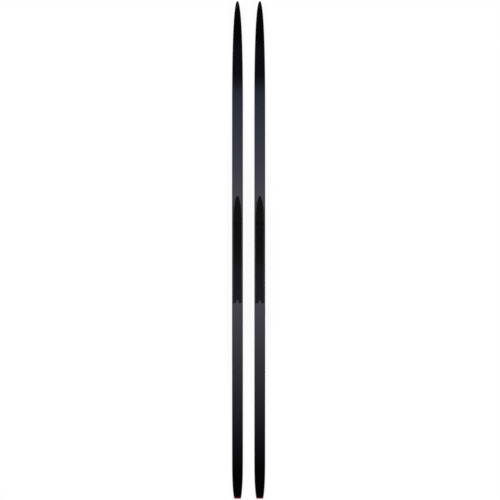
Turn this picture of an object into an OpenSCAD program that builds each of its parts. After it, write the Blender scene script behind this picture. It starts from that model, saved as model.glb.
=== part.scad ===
// A pair of racing cross-country skis, lying base down side by side with the tips towards +Y.
// Each ski is a glued sandwich: a grooved base, two carbon skins, a channelled core between two
// sidewalls, moulded end pieces, a topsheet, and a plate that a binding slides onto.
// Lengths are in millimetres. The origin is on the ground, midway between the two skis.

/* [Pair] */
// Distance between the centre lines of the two skis
pair_pitch = 90; // [60:1:160]

/* [Outline from above] */
// Length of a ski
ski_l = 2006; // [1650:1:2410]
// Width of the body
body_w = 44; // [36:0.5:54]
// Length over which the tip grows to the body's width
tip_outline_l = 440; // [300:5:560]
// How early the tip reaches the body's width
tip_taper = 2.7; // [2:0.1:4]
// How blunt the tip is
tip_round = 2.33; // [2:0.01:2.8]
// Length lost to the blunt end of the tip's point
nose_flat = 0.3; // [0.1:0.1:1]
// Width of the square tail end
tail_end_w = 26.4; // [20:0.2:34]
// Length over which the tail narrows
tail_outline_l = 180; // [120:5:260]
// How late the tail narrows
tail_taper = 3.25; // [2:0.05:5]
// How square the tail's corners are
tail_round = 1.35; // [1:0.05:2]

/* [Profile from the side] */
// Height of the arch under the middle
camber_h = 22; // [12:0.5:32]
// How straight the arch is in its middle
camber_bow = 1.3; // [1.1:0.05:2]
// Length of the flat contact at each end of the arch
contact_l = 40; // [20:1:80]
// Length of the tip that is off the ground
tip_rise_l = 260; // [190:5:330]
// Height of the underside at the tip
tip_rise_h = 52; // [35:1:75]
// How late the tip turns up
tip_sweep = 2.2; // [1.8:0.1:3]
// Length of the tail that is off the ground
tail_rise_l = 120; // [80:5:170]
// Height of the underside at the tail
tail_rise_h = 9; // [3:0.5:20]
// Thickness under the binding plate
mid_t = 25; // [20:0.5:32]
// Thickness where the front touches the ground
shoulder_t = 10.5; // [8:0.5:14]
// Thickness where the rear touches the ground
heel_t = 11; // [8:0.5:14]
// Thickness at the tip
tip_t = 6; // [5:0.2:8]
// Thickness at the tail
tail_t = 8.6; // [6:0.2:11]

/* [Layers] */
// Thickness of the running base
base_t = 1.4; // [1.2:0.1:2.2]
// Thickness of each carbon skin
skin_t = 0.7; // [0.4:0.1:1.2]
// Thickness of the topsheet
topsheet_t = 0.6; // [0.4:0.1:1]
// Width of each sidewall
sidewall_w = 3; // [2:0.1:5]
// Width of the base's centre groove
groove_w = 9; // [6:0.5:14]
// Depth of the centre groove
groove_d = 1; // [0.5:0.1:1.1]
// Length over which the groove fades out behind the tip
groove_fade_l = 60; // [30:5:120]

/* [Core] */
// Width of an air channel
channel_w = 5; // [3:0.5:7]
// Length of an air channel
channel_l = 70; // [40:1:110]
// Length of the rib between two channels in a row
channel_rib = 12; // [8:1:30]
// Distance between neighbouring rows of channels
channel_row_pitch = 10; // [8:0.5:11.5]
// Solid length that is kept at each end of a run of channels
channel_margin = 24; // [15:1:60]
// Length of the core's pointed end, let into the filler
vee_l = 36; // [20:1:60]

/* [End pieces] */
// Length of the tip guard
tip_guard_l = 26; // [16:1:40]
// Length of the tip guard's tongue between the skins
tip_tongue_l = 22; // [12:1:40]
// Width of filler left on each side of the tip guard's tongue
tip_tongue_margin = 4.4; // [3:0.2:7]
// Distance from the tip's end to the rear of the tip filler
tip_filler_reach = 230; // [160:5:300]
// Length of the tail protector that shows
tail_cap_l = 6; // [4:0.5:14]
// Length of the tail protector's tongue between the skins
tail_tongue_l = 24; // [12:1:40]
// Width of filler left on each side of the tail protector's tongue
tail_tongue_margin = 5.2; // [4:0.2:8]
// Distance from the tail's end to the front of the tail filler
tail_filler_reach = 96; // [80:2:115]
// Rounding of the end pieces' free edges
end_edge = 1.2; // [0.5:0.1:1.8]
// Rounding of the end pieces' lower edges where they meet the base
seam_edge = 0.2; // [0.1:0.05:0.4]

/* [Binding plate] */
// Length of the plate
plate_l = 432; // [360:2:500]
// Width of topsheet left bare on each side of the plate
plate_margin = 3.45; // [1:0.05:5]
// Thickness of the plate
plate_t = 4.8; // [4.2:0.1:7]
// How far the plate's middle is ahead of the ski's middle
plate_ahead = 3.5; // [-40:0.5:40]
// Length of the arched nose
plate_nose_l = 118; // [80:2:140]
// Length of the ramp on the nose
nose_ramp_l = 54; // [30:2:60]
// Thickness at the nose's front edge
nose_edge_t = 1.4; // [1:0.1:2.5]
// Length of the ramp at the plate's rear
rear_ramp_l = 14; // [8:1:30]
// Thickness at the plate's rear edge
rear_edge_t = 3.4; // [3.2:0.1:4]
// Rounding of the plate's rear corners
plate_corner_r = 3; // [1:0.5:6]
// Width of the arched notch in the plate's rear
notch_w = 14; // [8:0.5:18]
// Length of the notch
notch_l = 13; // [6:0.5:20]
// Depth of the rail groove along each side
rail_d = 1.9; // [1:0.1:3]
// Height of the rail groove
rail_h = 1.6; // [1:0.1:2]
// Thickness of the plate under the rail groove
rail_foot_t = 1.4; // [1:0.1:1.6]
// Length of the slots that a binding clicks into, across the ski
rack_slot_w = 14; // [8:0.5:22]
// Size of a slot along the ski
rack_slot_l = 3.4; // [2:0.2:5]
// Distance from one slot to the next
rack_pitch = 8; // [6:0.5:12]
// Depth of the slots
rack_d = 2.2; // [1:0.1:2.6]
// Number of slots in the front rack
front_rack_n = 10; // [4:1:12]
// Number of slots in the rear rack
rear_rack_n = 7; // [3:1:9]
// Distance from the plate's middle to the middle of the front rack
front_rack_y = 70; // [60:1:80]
// Distance from the plate's middle back to the middle of the rear rack
rear_rack_y = 120; // [90:1:140]

/* [Reinforcement] */
// Width of core left on each side of the sheet under the plate
reinf_margin = 2; // [1:0.1:6]
// Thickness of the sheet
reinf_t = 1.2; // [0.6:0.1:2]
// How far the sheet runs past each end of the plate
reinf_past = 22; // [10:1:60]

/* [Hidden] */

// Longest step between two stations on the curved ends and on the long body
end_step = 16;
body_step = 56;
// Rings along the tip guard, points on an arch of the plate and on the groove's arc
guard_rings = 10;
arch_points = 24;
groove_points = 8;
// Angle by which the groove's arc carries on below the base
groove_lap = 20;
// Sides of a channel's round end
channel_sides = 12;
// Reach of a cut past the face that it opens, and of a tongue into its own end piece
past = 2;
// Length that matters to no piece, for comparing stations
tiny = 0.001;
// More than any height of the ski
tall = 200;

// Places along the ski
tip_y = ski_l / 2;
tail_y = -ski_l / 2;
front_y = tip_y - tip_rise_l;
rear_y = tail_y + tail_rise_l;
arch_front_y = front_y - contact_l;
arch_rear_y = rear_y + contact_l;
arch_y = (arch_front_y + arch_rear_y) / 2;
arch_half_l = (arch_front_y - arch_rear_y) / 2;
guard_y = tip_y - tip_guard_l;
tip_tongue_y = guard_y - tip_tongue_l;
tip_filler_y = tip_y - tip_filler_reach;
cap_y = tail_y + tail_cap_l;
tail_tongue_y = cap_y + tail_tongue_l;
tail_filler_y = tail_y + tail_filler_reach;
plate_front_y = plate_ahead + plate_l / 2;
plate_rear_y = plate_ahead - plate_l / 2;
reinf_front_y = plate_front_y + reinf_past;
reinf_rear_y = plate_rear_y - reinf_past;
groove_front_y = front_y + groove_fade_l;

// The top edges are bevelled at 45 degrees through the topsheet and the skin below it
edge_bevel = topsheet_t + skin_t;

// A straight blend, a smooth step, a rounded rise from 0 to 1, and a list in rising order without doubles
function mix(a, b, u) = a + (b - a) * u;
function ease(u) = (1 - cos(180 * max(0, min(1, u)))) / 2;
function bulge(u, taper, round) = pow(1 - pow(1 - max(0, min(1, u)), taper), 1 / round);
function sorted(v) = len(v) < 2 ? v : let (p = v[0], rest = [for (i = [1:len(v) - 1]) v[i]])
    concat(sorted([for (e = rest) if (e < p) e]), [p], sorted([for (e = rest) if (e > p) e]));

// Half the ski's width at y
function tip_half(y) = body_w / 2 * bulge((tip_y + nose_flat - y) / tip_outline_l, tip_taper, tip_round);
function tail_half(y) =
    mix(tail_end_w / 2, body_w / 2, bulge((y - tail_y) / tail_outline_l, tail_taper, tail_round));
function half_w(y) = min(tip_half(y), tail_half(y));
function core_half_w(y) = half_w(y) - sidewall_w;

// Widths that follow from the ski's own
plate_w = body_w - 2 * (edge_bevel + plate_margin);
reinf_w = body_w - 2 * (sidewall_w + reinf_margin);
tip_tongue_w = 2 * (half_w(guard_y) - tip_tongue_margin);
tail_tongue_w = tail_end_w - 2 * tail_tongue_margin;

// Height of the underside at y: turned-up tip, two flat contacts, the arch between them, and the tail
function arch_z(y) = camber_h * pow(max(0, 1 - pow((y - arch_y) / arch_half_l, 2)), camber_bow);
base_z = function (y)
    y > front_y ? tip_rise_h * pow((y - front_y) / tip_rise_l, tip_sweep) :
    y < rear_y ? tail_rise_h * pow((rear_y - y) / tail_rise_l, 2) : arch_z(y);

// Thickness of the ski at y, from the underside to the topsheet's face
function body_t(y) =
    y > front_y ? mix(shoulder_t, tip_t, ease((y - front_y) / tip_rise_l)) :
    y < rear_y ? mix(heel_t, tail_t, ease((rear_y - y) / tail_rise_l)) :
    y > plate_front_y ? mix(mid_t, shoulder_t, ease((y - plate_front_y) / (front_y - plate_front_y))) :
    mix(mid_t, heel_t, ease((plate_rear_y - y) / (plate_rear_y - rear_y)));

// Heights of the faces between the layers at y
base_top = function (y) base_z(y) + base_t;
core_bottom = function (y) base_top(y) + skin_t;
top_z = function (y) base_z(y) + body_t(y);
skin_top = function (y) top_z(y) - topsheet_t;
core_top = function (y) skin_top(y) - skin_t;
reinf_bottom = function (y) core_top(y) - reinf_t;

// Stations along the ski, which every layer shares so that the layers meet face to face
function spread(keys, step) = [
    for (i = [0:len(keys) - 2])
        let (n = max(1, ceil((keys[i + 1] - keys[i]) / step - tiny)))
            for (k = [0:n - 1]) mix(keys[i], keys[i + 1], k / n)
];
tail_keys = sorted([cap_y, tail_tongue_y, tail_filler_y - vee_l, tail_filler_y, rear_y, arch_rear_y]);
body_keys = sorted([arch_rear_y, reinf_rear_y, plate_rear_y, plate_front_y, reinf_front_y, arch_front_y]);
tip_keys = sorted([
    arch_front_y, front_y, groove_front_y, tip_filler_y, tip_filler_y + vee_l, tip_tongue_y, guard_y
]);
stations = concat(spread(tail_keys, end_step), spread(body_keys, body_step),
    spread(tip_keys, end_step), [guard_y]);
function span(y0, y1) = [for (y = stations) if (y > y0 - tiny && y < y1 + tiny) y];

// A layer's section at y, with its half widths at the bottom and at the top
function slab(y, low_w, high_w, low_z, high_z) =
    [[-low_w, y, low_z], [low_w, y, low_z], [high_w, y, high_z], [-high_w, y, high_z]];

// An end piece's section at y, with its edges cut by low_cut below and high_cut above
function rounded_slab(y, w, low_z, high_z, low_cut, high_cut) = [
    [low_cut - w, y, low_z], [w - low_cut, y, low_z], [w, y, low_z + low_cut], [w, y, high_z - high_cut],
    [w - high_cut, y, high_z], [high_cut - w, y, high_z], [-w, y, high_z - high_cut], [-w, y, low_z + low_cut]
];

// Joins sections, listed from the tail to the tip, into one closed solid
module loft(rings) {
    n = len(rings[0]);
    last = (len(rings) - 1) * n;
    sides = [
        for (i = [0:len(rings) - 2], j = [0:n - 1])
            let (a = i * n + j, b = i * n + (j + 1) % n)
                each [[a, b, b + n], [a, b + n, a + n]]
    ];
    caps = [[for (j = [n - 1:-1:0]) j], [for (j = [0:n - 1]) last + j]];
    polyhedron(points = [for (r = rings) each r], faces = concat(caps, sides));
}

// Solid of a profile seen from the side, drawn along the ski and upwards, and w wide
module sideways(w) {
    rotate([90, 0, 90])
        linear_extrude(height = w, center = true)
            children();
}

// Solid between two heights that follow the ski, straight across it
module across(ys, low, high, w) {
    below = [for (y = ys) [y, low(y)]];
    above = [for (i = [len(ys) - 1:-1:0]) [ys[i], high(ys[i])]];
    sideways(w)
        polygon(concat(below, above));
}

// Solid of an outline seen from above, taller than the ski
module upright() {
    linear_extrude(height = tall)
        children();
}

// Outline of the ski from above through the given stations
module ski_outline(ys) {
    polygon(concat(
        [for (y = ys) [half_w(y), y]],
        [for (i = [len(ys) - 1:-1:0]) [-half_w(ys[i]), ys[i]]]
    ));
}

// Full-width layer with upright edges between two heights that follow the ski
module layer(ys, low, high) {
    intersection() {
        across(ys, low, high, 2 * body_w);
        upright()
            ski_outline(ys);
    }
}

// What lies between the two skins from y0 to y1, within an outline given from above
module between_skins(y0, y1) {
    intersection() {
        across(span(y0, y1), core_bottom, core_top, 2 * body_w);
        upright()
            children();
    }
}

// Cutter for the round groove along the base, which runs out of the base behind the tip
module groove() {
    arc = [for (k = [0:groove_points]) mix(180 + groove_lap, -groove_lap, k / groove_points)];
    sink = function (y) (groove_d + tiny) * ease(1 - (groove_front_y - y) / groove_fade_l);
    ys = concat([cap_y - past], span(cap_y, groove_front_y));
    loft([
        for (y = ys)
            let (z = base_z(y) - sink(y))
                [for (i = [groove_points:-1:0]) [groove_w / 2 * cos(arc[i]), y, z + groove_d * sin(arc[i])]]
    ]);
}

module base() {
    color("#17171a")
        difference() {
            layer(span(cap_y, guard_y), base_z, base_top);
            groove();
        }
}

module lower_laminate() {
    color("#26272b")
        layer(span(cap_y, guard_y), base_top, core_bottom);
}

module upper_laminate() {
    color("#26272b")
        loft([
            for (y = span(cap_y, guard_y))
                slab(y, half_w(y), half_w(y) - skin_t, core_top(y), skin_top(y))
        ]);
}

module topsheet() {
    color("#40434f")
        loft([
            for (y = span(cap_y, guard_y))
                slab(y, half_w(y) - skin_t, half_w(y) - edge_bevel, skin_top(y), top_z(y))
        ]);
}

// One strip along the core, on the side where x has the given sign
module sidewall(side) {
    ys = span(tail_filler_y, tip_filler_y);
    color("#1c1c20")
        between_skins(tail_filler_y, tip_filler_y)
            polygon(concat(
                [for (y = ys) [side * half_w(y), y]],
                [for (i = [len(ys) - 1:-1:0]) [side * core_half_w(ys[i]), ys[i]]]
            ));
}

// Outline of the core between the sidewalls, with a pointed end in each filler
module core_outline() {
    ys = span(tail_filler_y, tip_filler_y);
    polygon(concat(
        [[0, tail_filler_y - vee_l]],
        [for (y = ys) [core_half_w(y), y]],
        [[0, tip_filler_y + vee_l]],
        [for (i = [len(ys) - 1:-1:0]) [-core_half_w(ys[i]), ys[i]]]
    ));
}

// Rows of round-ended channels between two places along the ski, the middle row set off by half a pitch
module channels(y0, y1) {
    pitch = channel_l + channel_rib;
    r = channel_w / 2;
    for (row = [-1:1]) {
        shift = row == 0 ? pitch / 2 : 0;
        n = floor((y1 - y0 - shift + channel_rib) / pitch);
        for (k = [0:1:n - 1])
            translate([row * channel_row_pitch, y0 + shift + k * pitch]) {
                translate([-r, r])
                    square([channel_w, channel_l - channel_w]);
                for (end = [r, channel_l - r])
                    translate([0, end])
                        circle(r = r, $fn = channel_sides);
            }
    }
}

module core() {
    color("#d9b98a")
        difference() {
            between_skins(tail_filler_y - vee_l, tip_filler_y + vee_l)
                core_outline();
            reinforcement_sheet();
            upright() {
                channels(tail_filler_y + channel_margin, reinf_rear_y - channel_margin);
                channels(reinf_front_y + channel_margin, tip_filler_y - channel_margin);
            }
        }
}

module reinforcement_sheet() {
    across(span(reinf_rear_y, reinf_front_y), reinf_bottom, core_top, reinf_w);
}

module reinforcement() {
    color("#b9bd9a")
        reinforcement_sheet();
}

// Outline of a filler block from y0 to y1, full width, with the core's point cut out of it
module filler_outline(y0, y1, core_y, point_y) {
    difference() {
        ski_outline(span(y0, y1));
        polygon([[-core_half_w(core_y), core_y], [core_half_w(core_y), core_y], [0, point_y]]);
    }
}

module tongue_outline(y0, y1, w) {
    translate([-w / 2, y0])
        square([w, y1 - y0]);
}

module tip_filler() {
    color("#6d6f73")
        between_skins(tip_filler_y, guard_y)
            difference() {
                filler_outline(tip_filler_y, guard_y, tip_filler_y, tip_filler_y + vee_l);
                tongue_outline(tip_tongue_y, guard_y + past, tip_tongue_w);
            }
}

module tail_filler() {
    color("#6d6f73")
        between_skins(cap_y, tail_filler_y)
            difference() {
                filler_outline(cap_y, tail_filler_y, tail_filler_y, tail_filler_y - vee_l);
                tongue_outline(cap_y - past, tail_tongue_y, tail_tongue_w);
            }
}

// Nose piece: its edges round off towards the point, and its tongue is glued between the skins
module tip_guard() {
    ys = [for (k = [0:guard_rings]) tip_y - tip_guard_l * pow(1 - k / guard_rings, 2)];
    tongue_ys = concat(span(tip_tongue_y, guard_y), [guard_y + past]);
    color("#101013") {
        loft([
            for (y = ys)
                let (u = (y - guard_y) / tip_guard_l, w = half_w(y))
                    rounded_slab(y, w, base_z(y), top_z(y),
                        min(w / 2, mix(seam_edge, end_edge, u)), min(w / 2, mix(edge_bevel, end_edge, u)))
        ]);
        across(tongue_ys, core_bottom, core_top, tip_tongue_w);
    }
}

// Red end piece: a short block across the tail with a tongue glued between the skins
module tail_protector() {
    tongue_ys = concat([cap_y - past], span(cap_y, tail_tongue_y));
    color("#b0161c") {
        loft([
            for (y = [tail_y, tail_y + end_edge, cap_y])
                let (inset = y == tail_y ? end_edge : 0)
                    rounded_slab(y, half_w(y) - inset, base_z(y) + inset, top_z(y) - inset,
                        y == cap_y ? seam_edge : end_edge, y == cap_y ? edge_bevel : end_edge)
        ]);
        across(tongue_ys, core_bottom, core_top, tail_tongue_w);
    }
}

// Outline of the plate: half an ellipse in front, round rear corners, and an arched notch between them
module plate_outline() {
    w = plate_w / 2;
    r = plate_corner_r;
    turn = [for (k = [0:arch_points]) k / arch_points];
    polygon(concat(
        [for (u = turn) [w * cos(180 * u), plate_front_y - plate_nose_l * (1 - sin(180 * u))]],
        [for (u = turn) [-w + r - r * cos(90 * u), plate_rear_y + r - r * sin(90 * u)]],
        [for (u = turn) [-notch_w / 2 * cos(180 * u), plate_rear_y + notch_l * sin(180 * u)]],
        [for (u = turn) [w - r + r * sin(90 * u), plate_rear_y + r - r * cos(90 * u)]]
    ));
}

// Row of slots in the plate's face
module rack(middle_y, n) {
    for (k = [0:n - 1])
        translate([0, plate_ahead + middle_y + (k - (n - 1) / 2) * rack_pitch])
            square([rack_slot_w, rack_slot_l], center = true);
}

module binding_plate() {
    face = function (y) top_z(y) + plate_t
        - (plate_t - nose_edge_t) * ease(1 - (plate_front_y - y) / nose_ramp_l)
        - (plate_t - rear_edge_t) * ease(1 - (y - plate_rear_y) / rear_ramp_l);
    rail_low = function (y) top_z(y) + rail_foot_t;
    rail_high = function (y) rail_low(y) + rail_h;
    rack_floor = function (y) top_z(y) + plate_t - rack_d;
    rack_open = function (y) top_z(y) + plate_t + past;
    ys = span(plate_rear_y, plate_front_y);
    ramp_keys = [plate_rear_y, plate_rear_y + rear_ramp_l, plate_front_y - nose_ramp_l, plate_front_y];
    face_ys = concat(spread(ramp_keys, end_step / 4), [plate_front_y]);
    below = [for (y = ys) [y, top_z(y)]];
    above = [for (i = [len(face_ys) - 1:-1:0]) [face_ys[i], face(face_ys[i])]];
    color("#121115")
        difference() {
            intersection() {
                sideways(2 * plate_w)
                    polygon(concat(below, above));
                upright()
                    plate_outline();
            }
            for (side = [-1, 1])
                translate([side * plate_w, 0, 0])
                    across(ys, rail_low, rail_high, plate_w + 2 * rail_d);
            intersection() {
                across(ys, rack_floor, rack_open, plate_w);
                upright() {
                    rack(front_rack_y, front_rack_n);
                    rack(-rear_rack_y, rear_rack_n);
                }
            }
        }
}

module on_left() {
    translate([-pair_pitch / 2, 0, 0])
        children();
}

module on_right() {
    translate([pair_pitch / 2, 0, 0])
        children();
}

on_left() base();  // left_base
on_left() lower_laminate();  // left_lower_laminate
on_left() core();  // left_core
on_left() sidewall(-1);  // left_outer_sidewall
on_left() sidewall(1);  // left_inner_sidewall
on_left() reinforcement();  // left_reinforcement
on_left() upper_laminate();  // left_upper_laminate
on_left() topsheet();  // left_topsheet
on_left() tip_guard();  // left_tip_guard
on_left() tip_filler();  // left_tip_filler
on_left() tail_filler();  // left_tail_filler
on_left() tail_protector();  // left_tail_protector
on_left() binding_plate();  // left_binding_plate
on_right() base();  // right_base
on_right() lower_laminate();  // right_lower_laminate
on_right() core();  // right_core
on_right() sidewall(1);  // right_outer_sidewall
on_right() sidewall(-1);  // right_inner_sidewall
on_right() reinforcement();  // right_reinforcement
on_right() upper_laminate();  // right_upper_laminate
on_right() topsheet();  // right_topsheet
on_right() tip_guard();  // right_tip_guard
on_right() tip_filler();  // right_tip_filler
on_right() tail_filler();  // right_tail_filler
on_right() tail_protector();  // right_tail_protector
on_right() binding_plate();  // right_binding_plate
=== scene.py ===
# %% [markdown]
# A pair of racing cross-country skis on a white ground, seen straight from above.
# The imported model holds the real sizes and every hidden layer. This lesson gives each surface that shows a
# smooth skin worked out with numpy, and a finish made of shader nodes. From above a ski is a long, plain
# thing, so the work is in its outline, in the long fade of its printed top, and in how little light its
# black parts give back.

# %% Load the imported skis
import math

import bmesh
import bpy
import numpy as np
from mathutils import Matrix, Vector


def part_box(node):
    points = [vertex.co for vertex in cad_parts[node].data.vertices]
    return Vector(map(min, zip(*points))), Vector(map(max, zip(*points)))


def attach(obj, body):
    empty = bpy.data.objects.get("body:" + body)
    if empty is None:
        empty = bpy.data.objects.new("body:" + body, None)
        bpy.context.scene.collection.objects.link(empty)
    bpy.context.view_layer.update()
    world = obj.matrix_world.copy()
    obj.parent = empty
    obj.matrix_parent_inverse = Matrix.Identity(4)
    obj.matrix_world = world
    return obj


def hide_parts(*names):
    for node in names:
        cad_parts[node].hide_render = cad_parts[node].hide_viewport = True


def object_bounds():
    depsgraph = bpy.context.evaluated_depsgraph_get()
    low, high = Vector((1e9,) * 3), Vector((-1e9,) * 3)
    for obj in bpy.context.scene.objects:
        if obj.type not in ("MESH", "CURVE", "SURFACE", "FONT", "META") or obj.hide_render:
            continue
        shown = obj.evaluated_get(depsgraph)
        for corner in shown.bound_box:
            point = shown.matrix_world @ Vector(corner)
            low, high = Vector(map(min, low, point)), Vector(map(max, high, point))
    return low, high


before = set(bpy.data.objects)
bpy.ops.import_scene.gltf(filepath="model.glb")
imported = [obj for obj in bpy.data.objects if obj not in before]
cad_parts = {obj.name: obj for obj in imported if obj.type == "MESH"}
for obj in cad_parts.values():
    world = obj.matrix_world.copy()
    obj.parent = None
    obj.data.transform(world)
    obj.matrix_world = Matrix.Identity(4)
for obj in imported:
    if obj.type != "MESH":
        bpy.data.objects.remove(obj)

cad_low, cad_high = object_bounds()

# %% [markdown]
# The camera.
# The photograph looks straight down from far away: both ends of a two-metre ski are seen without any lean.
# A parallel camera would do that exactly. A long lens from a great height comes within a pixel of it, and
# also works when the camera is moved round the object for other views, so the long lens is used.

# %% Camera straight above the pair
PICTURE_WIDTH = 2.0171  # metres across the square picture at the height of the skis
PAIR_LEFT = 0.0055  # metres by which the pair lies left of the picture's middle
PAIR_DOWN = 0.0015  # and below it
LENS = 200.0  # millimetres
SENSOR = 36.0  # millimetres

scene = bpy.context.scene
scene.view_settings.view_transform = "Standard"
middle = (cad_low + cad_high) / 2
camera = bpy.data.objects.new("camera", bpy.data.cameras.new("camera"))
camera.data.lens = LENS
camera.data.sensor_width = SENSOR
camera_height = PICTURE_WIDTH * LENS / SENSOR  # metres over the middle of the skis
camera.location = (middle.x + PAIR_LEFT, middle.y + PAIR_DOWN, middle.z + camera_height)
scene.collection.objects.link(camera)
scene.camera = camera
print("camera height in metres:", round(camera_height, 3))

# %% [markdown]
# Shader nodes.
# Every finish below is a small tree of nodes. Adding nodes, setting their values and linking them takes many
# lines when it is spelled out, so one helper does all three. Three shorter ones on top of it cover what the
# finishes need most: a ramp between two values, a sum or product, and a colour between two others.

# %% Helpers for shader nodes
def wire(tree, kind, inputs=None, **settings):
    """Adds a node. inputs maps an input's name or number to a value, or to the output that feeds it."""
    made = tree.nodes.new(kind)
    for name, value in settings.items():
        setattr(made, name, value)
    for socket, value in (inputs or {}).items():
        if isinstance(value, bpy.types.NodeSocket):
            tree.links.new(value, made.inputs[socket])
        else:
            made.inputs[socket].default_value = value
    return made


def ramp(tree, value, start, end, low=0.0, high=1.0, kind="LINEAR"):
    """low where value is start, high where it is end, and level beyond both."""
    limits = {"Value": value, "From Min": start, "From Max": end, "To Min": low, "To Max": high}
    return wire(tree, "ShaderNodeMapRange", limits, interpolation_type=kind).outputs[0]


def sums(tree, operation, a, b):
    """One sum, product or other piece of arithmetic on two values."""
    return wire(tree, "ShaderNodeMath", {0: a, 1: b}, operation=operation).outputs[0]


def between(tree, share, a, b):
    """The colour that lies a share of the way from a to b. The Mix node takes colours in its inputs 6 and 7,
    and gives one in its output 2."""
    return wire(tree, "ShaderNodeMix", {0: share, 6: a, 7: b}, data_type="RGBA").outputs[2]


# %% [markdown]
# The ground.
# The photograph's ground is pure white. Pouring light on a grey floor until it clips would bleach the skis as
# well, so the floor is white by itself: the camera sees a soft glow with a little lit paint on top, which
# still takes the skis' shadow, while light that bounces off the floor onto the skis comes from plain white
# paint. Away from the lamps the glow alone is white, so that the floor runs into the horizon without a line.

# %% White floor that keeps a shadow
FLOOR_HALF = 30.0  # metres
FLOOR_DROP = 0.0002  # metres below the running bases
PAINT = (0.8, 0.8, 0.8, 1)
SEEN_PAINT = (0.10, 0.10, 0.10, 1)
SEEN_GLOW = 0.91  # near the skis, where the light on the seen paint adds the rest
GLOW_GROWS = (1.3, 4.0)  # metres from the skis' middle over which the glow grows to white


def floor_material():
    """White paint, and a soft white glow for what the camera, a gloss or a clear part sees of it."""
    made = bpy.data.materials.new("white floor")
    made.use_nodes = True
    tree = made.node_tree
    tree.nodes.clear()
    path = wire(tree, "ShaderNodeLightPath")
    seen = sums(tree, "MAXIMUM", path.outputs["Is Camera Ray"], path.outputs["Is Glossy Ray"])
    seen = sums(tree, "MAXIMUM", seen, path.outputs["Is Transmission Ray"])
    paint = wire(tree, "ShaderNodeBsdfDiffuse", {"Color": PAINT})
    seen_paint = wire(tree, "ShaderNodeBsdfDiffuse", {"Color": SEEN_PAINT})
    spot = wire(tree, "ShaderNodeTexCoord").outputs["Object"]
    away = wire(tree, "ShaderNodeVectorMath", {0: spot}, operation="LENGTH").outputs["Value"]
    glow = wire(tree, "ShaderNodeEmission", {"Strength": ramp(tree, away, *GLOW_GROWS, SEEN_GLOW, 1.0)})
    look = wire(tree, "ShaderNodeAddShader", {0: seen_paint.outputs[0], 1: glow.outputs[0]})
    both = wire(tree, "ShaderNodeMixShader", {0: seen, 1: paint.outputs[0], 2: look.outputs[0]})
    wire(tree, "ShaderNodeOutputMaterial", {"Surface": both.outputs[0]})
    return made


reach = np.array([[-1, -1], [1, -1], [1, 1], [-1, 1]]) * FLOOR_HALF
floor_points = np.insert(reach, 2, cad_low.z - FLOOR_DROP, axis=1)
floor_mesh = bpy.data.meshes.new("floor")
floor_mesh.from_pydata(floor_points.tolist(), [], [(0, 1, 2, 3)])
floor_mesh.materials.append(floor_material())
floor = bpy.data.objects.new("floor", floor_mesh)
scene.collection.objects.link(floor)
print("floor:", 2 * FLOOR_HALF, "metres square")

# %% [markdown]
# The light.
# Black plastic shows whatever it mirrors. With a lamp straight above, a camera straight above sees that lamp
# as a grey veil over the whole ski, and with lamps near the ground a low camera sees them as a white glare.
# So four soft boxes stand high at the sides of the skis, where few views find them in the mirror. They are
# broad, because a small bright lamp would show as a hard patch in a turned-up tip. The ceiling between them
# is dark, and a pale band along the horizon lights the ends. Each lamp's power comes from the share of plain
# white light that it should put on level ground, so that together they show a colour about as it is written.

# %% Soft boxes and a pale horizon
LAMP_DISTANCE = 5.5  # metres
LAMP_ANGLE = math.radians(58)  # above the ground
LAMP_TURNS = (70, 110, 250, 290)  # degrees round the pair, from its tips
LAMP_SIZE = (4.0, 2.2)  # metres
LAMP_SHARE = 0.265  # a little over a quarter, because so broad a lamp gives less than the formula says
HORIZON_TOP = 0.09  # sine of the angle up to which the horizon is white
CEILING = 0.22  # sine of the angle above which the ceiling is dark
CEILING_GLOW = 0.01


def soft_box(turn):
    """An area lamp aimed at the skis. On level ground, power P from distance d at angle a gives
    P sin(a) / (pi d)^2 of plain white, so P follows from the share that the lamp should give."""
    lamp = bpy.data.lights.new(f"soft box {turn}", "AREA")
    lamp.shape = "RECTANGLE"
    lamp.size, lamp.size_y = LAMP_SIZE
    lamp.energy = LAMP_SHARE * (math.pi * LAMP_DISTANCE) ** 2 / math.sin(LAMP_ANGLE)
    made = bpy.data.objects.new(lamp.name, lamp)
    flat = math.cos(LAMP_ANGLE)
    round_pair = math.radians(turn)
    made.location = (flat * math.sin(round_pair), flat * math.cos(round_pair), math.sin(LAMP_ANGLE))
    made.location *= LAMP_DISTANCE
    made.rotation_euler = made.location.to_track_quat("Z", "Y").to_euler()
    made.visible_camera = False
    scene.collection.objects.link(made)
    return lamp.energy


def studio_world():
    """White at the horizon, falling to nearly black overhead."""
    world = bpy.data.worlds.new("studio")
    world.use_nodes = True
    tree = world.node_tree
    tree.nodes.clear()
    way = wire(tree, "ShaderNodeTexCoord")
    parts = wire(tree, "ShaderNodeSeparateXYZ", {0: way.outputs["Generated"]})
    fall = ramp(tree, parts.outputs["Z"], HORIZON_TOP, CEILING, 1.0, CEILING_GLOW)
    sky = wire(tree, "ShaderNodeBackground", {"Color": (1, 1, 1, 1), "Strength": fall})
    wire(tree, "ShaderNodeOutputWorld", {"Surface": sky.outputs[0]})
    return world


scene.world = studio_world()
print("watts of each soft box:", [round(soft_box(turn)) for turn in LAMP_TURNS])

# %% [markdown]
# Reading the layers.
# A ski is a glued stack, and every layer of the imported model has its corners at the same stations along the
# ski. So six heights and one half width at each station say where all the layers are. They could be written
# here again as numbers, but then they could disagree with the model. They are read from its corners instead:
# corners are grouped by their place along the ski, and the lowest, highest and widest of each group are kept.

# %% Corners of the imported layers
SIDES = ("left", "right")
STATION_DECIMALS = 5  # of a metre, enough to tell two stations apart

centre_x = {side: sum(corner.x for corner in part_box(side + "_topsheet")) / 2 for side in SIDES}


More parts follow.
